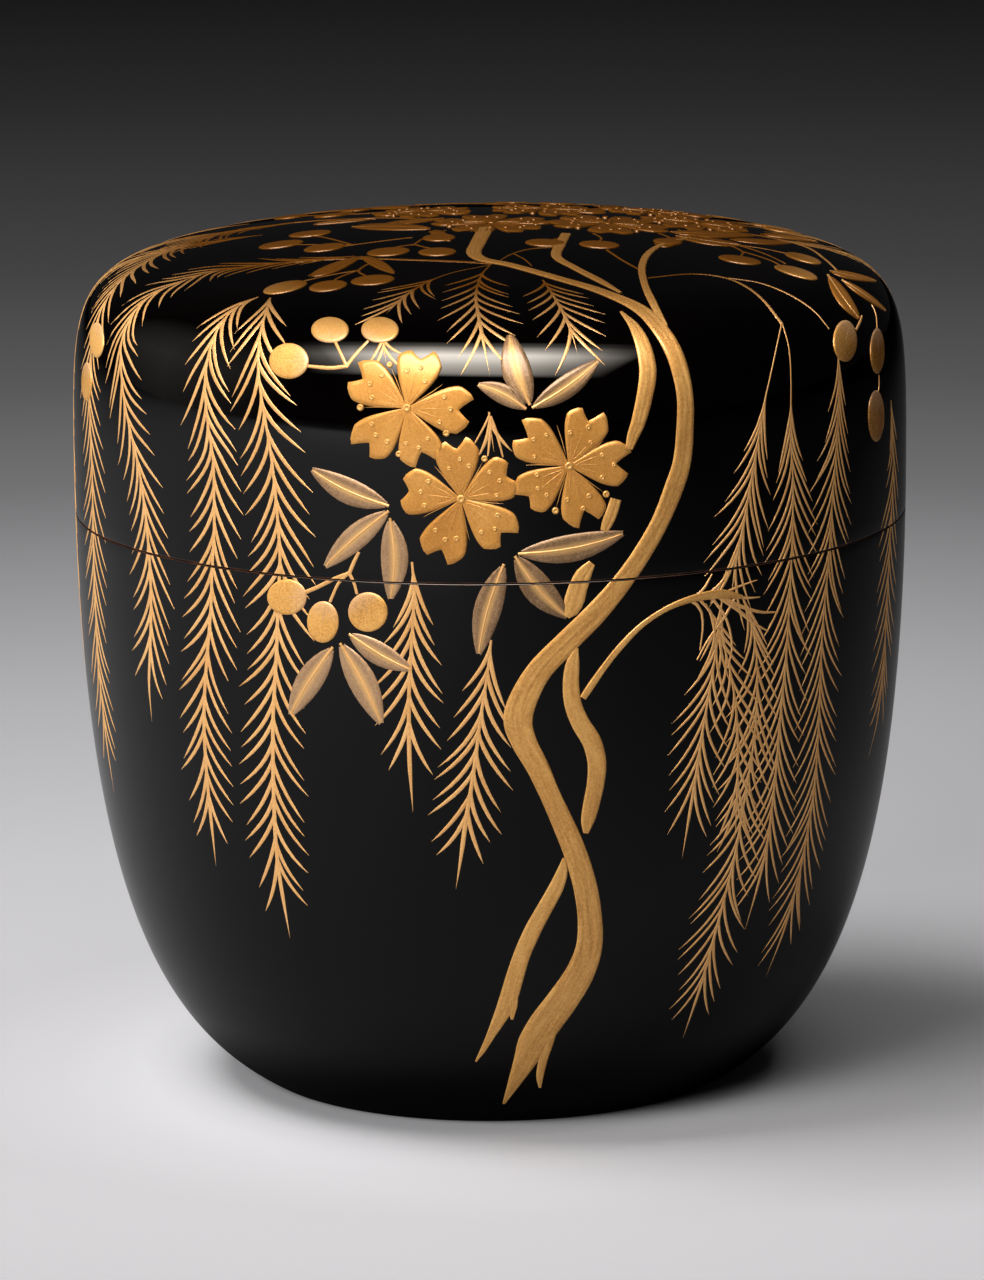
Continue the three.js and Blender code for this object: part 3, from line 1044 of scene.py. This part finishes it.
leafShape = {
    "height": 0.07 * mm,
    "rows": (0, 0.04, 0.12, 0.22, 0.33, 0.44, 0.55, 0.66, 0.77, 0.87, 0.95, 1),
    "across": (-1, -0.93, -0.6, -0.3, 0, 0.3, 0.6, 0.93, 1),
    "rise": (0, 0.95, 0.88, 0.84, 0.82, 0.84, 0.88, 0.95, 0),
    # painted shade: the leaves darker to the right, where less light falls
    "paintedShade": 0.011, "paintedShadeFrom": 400,  # how fast they darken to the right, per pixel, and from where on
    "ribHalfWidth": 0.13 * mm, "ribHeight": 0.028 * mm,
}


def addLeaf(leaves, ribs, spot, length, halfWidth, draw, paintedShade=0.0):
    share = np.array(leafShape["rows"])[:, None]
    cross = np.array(leafShape["across"])[None, :]
    hook = draw.choice((-1, 1)) * draw.uniform(0.2, 0.45) * halfWidth
    bend = lambda share: hook * (np.sin(share * math.pi) * 0.6 - 0.5 * share**3)
    width = halfWidth * np.sin(np.clip(share, 0.02, 0.99) ** 0.92 * math.pi) ** 0.8 + 0.03
    rows = np.stack(np.broadcast_arrays(bend(share) + width * cross, length * share), axis=-1)
    marks = np.stack(np.broadcast_arrays(share, cross), axis=-1)
    rises = np.array(leafShape["rise"])[None, :] * np.minimum(1, 0.25 + 6 * share * (1 - share))
    addShape(leaves, spot, rows, rises, leafShape["height"], 0.0, draw.random() - paintedShade, marks)
    along = np.linspace(0, 0.93, 9)
    addStroke(ribs, spot(np.column_stack([bend(along), length * along])),
              leafShape["ribHalfWidth"] * (1 - 0.7 * along), leafShape["ribHeight"],
              base=0.8 * leafShape["height"], tone=0.7)


def layLeaves():
    silver, golden, ribs = newSheet(), newSheet(), newSheet()
    draw = random.Random(21)
    for sheet, drawn in ((silver, photoLeaves), (golden, photoGoldLeaves)):
        for root, tip, half in drawn.values():
            across, down = tip[0] - root[0], tip[1] - root[1]
            turn = math.degrees(math.atan2(-across, -down))
            length = math.hypot(across, down) / pixelsPerMm
            # painted shade: leaves further right get a darker tone
            paintedShade = leafShape["paintedShade"] * max(0, root[0] - leafShape["paintedShadeFrom"])
            addLeaf(sheet, ribs, spotInPhoto(*root, turn), length, half / pixelsPerMm, draw, paintedShade)
    for root, tip, half in crownLeaves:
        across, above = tip[0] - root[0], tip[1] - root[1]
        turn = math.degrees(math.atan2(-across, above))
        addLeaf(golden, ribs, spotInPlan(*root, turn), math.hypot(across, above), half, draw)
    return silver, golden, ribs


# Buds: round gold domes on stalks, hanging in threes

# (x, y, half width, half height) in pixels, and the way to the stalk in degrees, counted from the right
photoBuds = {
    "bodyLeft": (287, 597, 20, 18, 0), "bodyMiddle": (323, 622, 16, 21, 75),
    "bodyRight": (368, 612, 20, 20, 120), "lidLeft": (289, 361, 20, 18, 0),
    "lidMiddle": (330, 330, 19, 13, -80), "lidRight": (380, 330, 19, 13, -120),
    "farLeftUp": (97, 340, 7, 18, 60), "farLeftDown": (87, 382, 5, 20, 80),
    "rightUp": (845, 341, 12, 21, 70), "rightLow": (877, 351, 7, 23, 90),
    "rightLowest": (876, 416, 8, 26, 90),
}
photoStalks = {
    "bodyStem": [(359, 552, 4), (354, 562, 5), (349, 574, 5)],
    "bodyToLeft": [(350, 573, 5), (334, 579, 5), (318, 587, 5), (306, 592, 5)],
    "bodyToMiddle": [(347, 574, 5), (338, 584, 4), (330, 602, 4)],
    "bodyToRight": [(349, 573, 5), (354, 583, 4), (357, 594, 4)],
    "lidToLeft": [(347, 366, 5), (330, 368, 5), (308, 366, 4)],
    "lidToMiddle": [(347, 367, 5), (341, 354, 4), (335, 341, 4)],
    "lidToRight": [(346, 367, 5), (356, 354, 5), (368, 341, 4)],
    "rightToUp": [(862, 316, 3), (860, 322, 4), (856, 330, 4)],
    "rightToLow": [(872, 305, 2), (876, 315, 2), (877, 328, 2)],
    "rightToLowest": [(879, 375, 2), (879, 386, 2), (878, 393, 2)],
}
budShape = {
    "height": 0.10 * mm, "crease": 0.014 * mm, "creaseWidth": 0.09,
    # painted shade: the buds on the right are darker, as little light reaches them
    "paintedShade": 1.6,  # taken off the tone of those on the right
    "stalkHeight": 0.05 * mm, "stalkPerMm": 2.2,
    "crownStalk": (0.14 * mm, 0.04 * mm),  # half width, height
    "branch": (0.30 * mm, 0.16 * mm, 0.05 * mm),  # half width, how much of it goes to the end, height
}
# on the top, in plan: x, y, radius along, radius across, turn
crownBuds = [
    (-7.8, -10.7, 1.7, 1.35, 10), (-4.0, -11.5, 1.5, 1.3, -8), (-8.9, -19.2, 1.7, 1.3, 5),
    (-12.3, -19.9, 1.5, 1.3, 20), (-15.6, -19.0, 1.8, 1.3, 28), (4.4, -8.4, 1.6, 1.3, 0),
    (8.6, -8.4, 1.6, 1.3, 0), (-3.9, -6.2, 1.3, 1.3, 0), (14.0, -5.4, 1.2, 1.1, 45),
    (19.5, -9.7, 1.7, 1.3, -8), (23.8, -11.0, 1.8, 1.3, -30), (24.6, -5.4, 1.7, 1.2, -50),
    (-14.1, -0.5, 1.7, 1.3, 0), (-16.3, -4.2, 1.8, 1.3, 15), (-12.8, -7.4, 1.7, 1.3, 20),
    (-12.6, 11.6, 1.6, 1.3, 40), (-16.0, 14.8, 1.6, 1.3, 60), (-10.8, 16.2, 1.5, 1.3, 80),
    (23.6, 9.2, 1.6, 1.3, 0), (5.6, 20.6, 1.6, 1.3, 0), (2.0, 24.0, 1.5, 1.2, 0), (8.6, 24.6, 1.5, 1.2, 0),
]
crownStalks = [
    [(-5.8, -8.4), (-7.0, -9.0), (-7.8, -9.6)], [(-5.8, -8.4), (-5.0, -9.6), (-4.2, -10.4)],
    [(-3.4, -3.0), (-5.0, -6.0), (-5.8, -8.4)], [(-10.6, -7.2), (-13.0, -2.8), (-14.0, -1.6)],
    [(-10.6, -7.2), (-14.0, -5.6), (-15.2, -4.8)], [(-6.0, -5.6), (-10.6, -7.2), (-11.6, -7.4)],
    [(-8.6, -13.0), (-10.0, -16.0), (-9.4, -18.0)], [(-10.0, -16.0), (-11.4, -17.6), (-12.0, -18.8)],
    [(-10.0, -16.0), (-12.6, -17.0), (-14.4, -18.0)], [(5.8, -6.0), (5.2, -6.8), (4.6, -7.4)],
    [(8.2, -3.8), (8.8, -5.6), (8.6, -7.2)], [(13.4, -1.8), (14.2, -3.4), (14.0, -4.6)],
    [(18.6, -3.6), (19.8, -6.2), (19.6, -8.4)], [(19.8, -6.2), (21.8, -8.2), (22.8, -10.0)],
    [(18.6, -3.6), (21.4, -3.8), (23.4, -4.6)], [(15.0, 1.0), (16.4, -1.6), (18.6, -3.6)],
    [(-7.6, 10.2), (-10.4, 10.6), (-11.4, 11.2)], [(-10.4, 10.6), (-13.2, 12.6), (-15.0, 14.0)],
    [(-10.4, 10.6), (-11.2, 13.0), (-10.9, 15.0)], [(4.8, 14.0), (5.4, 17.0), (5.6, 19.2)],
    [(5.4, 17.0), (3.2, 20.4), (2.2, 22.8)], [(5.4, 17.0), (8.0, 20.6), (8.6, 23.2)],
    [(19.8, 8.0), (21.2, 8.8), (22.2, 9.1)],
]
# long branches over the top that carry the hidden side's fronds
crownBranches = [
    [(-1.0, -15.2), (-6.0, -13.8), (-10.6, -12.2), (-15.4, -11.6)],
    [(-4.0, 3.0), (-9.0, 6.0), (-15.0, 7.8), (-19.0, 7.2)],
    [(-3.0, 10.0), (-8.0, 15.0), (-13.0, 18.0), (-16.0, 17.0)],
    [(4.0, 13.0), (1.0, 18.0), (-3.0, 21.0), (-6.0, 20.6)],
    [(8.0, 12.0), (11.0, 17.0), (14.0, 19.6), (16.0, 19.0)],
    [(16.0, 8.0), (20.0, 11.0), (23.0, 11.6)],
    [(18.0, 3.0), (22.0, 2.6), (25.0, 0.4), (26.4, -4.0), (27.4, -8.0)],
]


def layBuds():
    buds, stalks = newSheet(), newSheet()
    draw = random.Random(33)
    height = budShape["height"]
    for name, (x, y, halfAcross, halfUp, stalk) in photoBuds.items():
        spot = spotInPhoto(x, y)
        halfAcross, halfUp = halfAcross / pixelsPerMm, halfUp / pixelsPerMm
        # painted shade: the buds on the right get a darker tone
        tone = draw.random() - budShape["paintedShade"] * name.startswith("right")
        addDisc(buds, spot, 0, 0, halfAcross, halfUp, height, tone=tone, profile=flatDisc, stalk=stalk)
        toX, toY = halfAcross * math.cos(math.radians(stalk)), halfUp * math.sin(math.radians(stalk))
        crease = [(share * toX, share * toY) for share in (0.85, 0.3, -0.35)]
        flatStroke(buds, spot, crease, budShape["creaseWidth"], budShape["crease"], height, 0.0)
    for x, y, halfAcross, halfUp, turn in crownBuds:
        addDisc(buds, spotInPlan(x, y), 0, 0, halfAcross, halfUp, height, 0.0, draw.random(), turn,
                flatDisc, turn + 90)
    for spots in photoStalks.values():
        photoStroke(stalks, spots, budShape["stalkHeight"], budShape["stalkPerMm"], draw.random())
    for spots in crownStalks:
        addStroke(stalks, fromPlan(smoothLine(spots, 5)), *budShape["crownStalk"], tone=draw.random())
    half, less, branchHeight = budShape["branch"]
    for spots in crownBranches:
        line = fromPlan(smoothLine(spots, 8))
        addStroke(stalks, line, half - less * np.linspace(0, 1, len(line)), branchHeight, tone=draw.random())
    return buds, stalks


# Makes a piece of a sheet of gold, cut off clear of the seam above or below it.
def makePiece(sheet, name, material, half):
    mesh = bpy.data.meshes.new(name)
    quads = np.concatenate(sheet["quads"]).tolist()
    mesh.from_pydata(np.concatenate(sheet["points"]).tolist(), [], quads + sheet["caps"])
    laid = mesh.attributes.new("laid", "FLOAT_VECTOR", "POINT")
    laid.data.foreach_set("vector", np.concatenate(sheet["laid"]).astype(np.float32).ravel())
    work = bmesh.new()
    work.from_mesh(mesh)
    sign = 1 if half == "lid" else -1
    cut = bmesh.ops.bisect_plane(
        work, geom=work.verts[:] + work.edges[:] + work.faces[:], dist=1e-7,
        plane_co=(0, 0, form["seam"] + sign * relief["seamGap"]), plane_no=(0, 0, -sign), clear_outer=True,
    )
    edges = [item for item in cut["geom_cut"] if isinstance(item, bmesh.types.BMEdge)]
    bmesh.ops.holes_fill(work, edges=edges, sides=0)
    bmesh.ops.recalc_face_normals(work, faces=work.faces[:])
    if not work.faces:
        work.free()
        return None
    for face in work.faces:
        face.smooth = True
    ends = [edge for face in work.faces if len(face.verts) > 4 for edge in face.edges]
    for edge in edges + ends:
        edge.smooth = False
    work.to_mesh(mesh)
    work.free()
    piece = showPiece(name, mesh)
    mesh.materials.append(material)
    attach(piece, "root")
    return piece


petals, stamens = layBlossoms()
leaves, goldLeaves, ribs = layLeaves()
buds, stalks = layBuds()
layers = (
    (layWillow(), "Willow", gold, "gold"),
    (layTrunk(), "Trunk", barkGold, "gold"),
    (layTwigs(), "Twigs", gold, "gold"),
    (petals, "Petals", petalGold, "gold"),
    (stamens, "Stamens", beadGold, "gold"),
    (leaves, "Leaves", leafSilver, "silver"),
    (goldLeaves, "GoldLeaves", petalGold, "gold"),
    (ribs, "LeafVeins", gold, "gold"),
    (buds, "Buds", budGold, "gold"),
    (stalks, "Stalks", gold, "gold"),
)
for sheet, name, material, kind in layers:
    for half in ("lid", "body"):
        piece = makePiece(sheet, f"{half}{name}", material, half)
        if piece:
            print(piece.name, len(piece.data.polygons), "faces")
print("gold laid")


# The floor and the light

floorLook = {
    "reach": 4.0,
    "tone": (0.860, 0.845, 0.866),
    "roughness": 0.9,
    # shares of the tone at each metre from the caddy: a painted contact shadow by the foot, a painted lighter
    # ring just outside it, then fading to the back
    "foot": [(0.0, 0.1), (0.018, 0.26), (0.0205, 1.0), (0.025, 1.0)],
    "distance": [(0.0218, 1.0), (0.0230, 0.80), (0.026, 0.66), (0.034, 0.55), (0.046, 0.477), (0.08, 0.44),
                 (0.15, 0.344), (0.20, 0.255), (0.26, 0.15), (0.33, 0.095), (0.42, 0.06), (0.6, 0.029),
                 (0.8, 0.01), (1.0, 0.0)],
}
# A painted reflection: what the lacquer sees of the floor is a card just above it, which the camera doesn't
# see: dimmer, with a painted shadow by the foot and painted shade darker to the right, from this x to that
# one and as far back as this y
paintedReflectionLook = {
    "lift": 0.05 * mm,
    "foot": [(0.0, 0.0), (0.019, 0.05), (0.0235, 0.27), (0.0275, 0.60), (0.034, 0.74)],
    "across": (-0.2, 0.3),
    "acrossStops": [(0.0, 0.40), (0.2, 0.40), (0.31, 0.35), (0.37, 0.29), (0.41, 0.26), (0.5, 0.20),
                    (0.62, 0.14), (1.0, 0.04)],
    "back": (0.0, 1.0), "backStops": [(0.0, 1.0), (0.12, 0.78), (0.22, 0.48), (0.42, 0.17), (1.0, 0.05)],
}
lights = {
    "fill": dict(turn=-80, elevation=66, distance=1.0, width=0.5, height=0.5, power=10.5),
    "front": dict(turn=-38, elevation=22, distance=1.0, width=0.5, height=0.5, power=9.8),
    "above": dict(turn=-10, elevation=82, distance=1.1, width=1.3, height=1.1, power=6.6),
}
# glowing cards, brightest along one line and soft towards their edges: the stops are (share, level)
cards = {
    "key": dict(
        turn=-10, elevation=53, distance=0.85, width=1.50, height=0.84, glow=34.0, tint=(1.0, 0.91, 0.80),
        across=[(0.0, 0.0), (0.15, 0.10), (0.42, 1.0), (0.64, 0.85), (0.86, 0.2), (1.0, 0.0)],
        up=[(0.0, 0.0), (0.08, 0.28), (0.26, 0.52), (0.42, 0.85), (0.53, 1.0), (0.68, 0.45), (0.84, 0.08),
            (1.0, 0.0)]),
    "leftGlow": dict(
        turn=-92, elevation=20, distance=0.9, width=1.3, height=0.9, glow=0.45, tint=(1.0, 0.93, 0.88),
        across=[(0.0, 0.0), (0.4, 1.0), (0.7, 0.8), (1.0, 0.0)],
        up=[(0.0, 0.3), (0.4, 1.0), (0.7, 0.6), (1.0, 0.0)]),
}


def makePlane(name, halfWidth, halfHeight, material):
    mesh = bpy.data.meshes.new(name)
    ways = ((-1, -1), (1, -1), (1, 1), (-1, 1))
    mesh.from_pydata([(x * halfWidth, y * halfHeight, 0) for x, y in ways], [], [(0, 1, 2, 3)])
    mesh.materials.append(material)
    plane = showPiece(name, mesh)
    return plane


def greyRamp(tree, value, stops):
    return addRamp(tree, value, [(at, (level,) * 3) for at, level in stops])


# Paper whose tone is the product of a few ramps: each is (what it follows, from, to, stops). R is the
# distance from the caddy.
def makePaper(name, ramps):
    material, tree, shader = newMaterial(name)
    place = objectPlace(tree)
    length = tree.nodes.new("ShaderNodeVectorMath")
    length.operation = "LENGTH"
    tree.links.new(place, length.inputs[0])
    share = 1.0
    for axis, start, end, stops in ramps:
        followed = length.outputs["Value"] if axis == "R" else splitUp(tree, place)[axis]
        level = greyRamp(tree, mapRange(tree, followed, start, end), stops)
        share = calc(tree, "MULTIPLY", share, level)
    tone = mixColours(tree, share, (0, 0, 0, 1), (*floorLook["tone"], 1))
    feed(tree, shader.inputs["Base Color"], tone)
    shader.inputs["Roughness"].default_value = floorLook["roughness"]
    shader.inputs["Specular IOR Level"].default_value = 0
    return material


def makeFloor():
    reach = floorLook["reach"]
    # the paper carries a painted contact shadow and a painted lighter ring by the foot
    paper = makePaper("paperWithPaintedShade", [("R", 0, 1, floorLook["foot"]), ("R", 0, 1, floorLook["distance"])])
    floor = makePlane("floor", reach, reach, paper)
    # the floor itself is hidden from reflections, where the painted reflection card stands in for it
    floor.visible_glossy = False
    across, back = paintedReflectionLook["across"], paintedReflectionLook["back"]
    paintedReflection = makePaper("paintedReflectionPaper", [
        ("R", 0, 1, paintedReflectionLook["foot"]),
        ("X", *across, paintedReflectionLook["acrossStops"]),
        ("Y", *back, paintedReflectionLook["backStops"]),
    ])
    card = makePlane("paintedFloorReflection", reach, reach, paintedReflection)
    card.location.z = paintedReflectionLook["lift"]
    card.visible_camera = card.visible_diffuse = card.visible_shadow = False


# Where a light or a card stands, turned to the caddy
def facingCaddy(spec):
    turn, rise = math.radians(spec["turn"]), math.radians(spec["elevation"])
    away = Vector((math.sin(turn) * math.cos(rise), -math.cos(turn) * math.cos(rise), math.sin(rise)))
    place = Vector((0, 0, form["seam"])) + away * spec["distance"]
    return Matrix.Translation(place) @ away.to_track_quat("Z", "Y").to_matrix().to_4x4()


def makeLight(name, spec):
    data = bpy.data.lights.new(name, "AREA")
    data.shape = "RECTANGLE"
    data.size, data.size_y, data.energy = spec["width"], spec["height"], spec["power"]
    light = bpy.data.objects.new(name, data)
    light.matrix_world = facingCaddy(spec)
    light.visible_camera = False
    light.visible_glossy = False
    bpy.context.scene.collection.objects.link(light)


def makeCard(name, spec):
    material, tree, shader = newMaterial(name)
    place = splitUp(tree, objectPlace(tree))
    halfWidth, halfHeight = spec["width"] / 2, spec["height"] / 2
    across = greyRamp(tree, mapRange(tree, place["X"], -halfWidth, halfWidth), spec["across"])
    up = greyRamp(tree, mapRange(tree, place["Y"], -halfHeight, halfHeight), spec["up"])
    glow = calc(tree, "MULTIPLY", calc(tree, "MULTIPLY", across, up), spec["glow"])
    shader.inputs["Base Color"].default_value = (0, 0, 0, 1)
    shader.inputs["Specular IOR Level"].default_value = 0
    shader.inputs["Emission Color"].default_value = (*spec["tint"], 1)
    feed(tree, shader.inputs["Emission Strength"], glow)
    card = makePlane(name, halfWidth, halfHeight, material)
    card.matrix_world = facingCaddy(spec)
    card.visible_camera = card.visible_diffuse = card.visible_shadow = False


worldTone = (0.012, 0.012, 0.013, 1)

makeFloor()
for name, spec in lights.items():
    makeLight(name, spec)
for name, spec in cards.items():
    makeCard(name, spec)
world = bpy.data.worlds.new("studio")
world.use_nodes = True
world.node_tree.nodes["Background"].inputs["Color"].default_value = worldTone
bpy.context.scene.world = world
bpy.context.scene.view_settings.view_transform = "Standard"
print("studio ready")
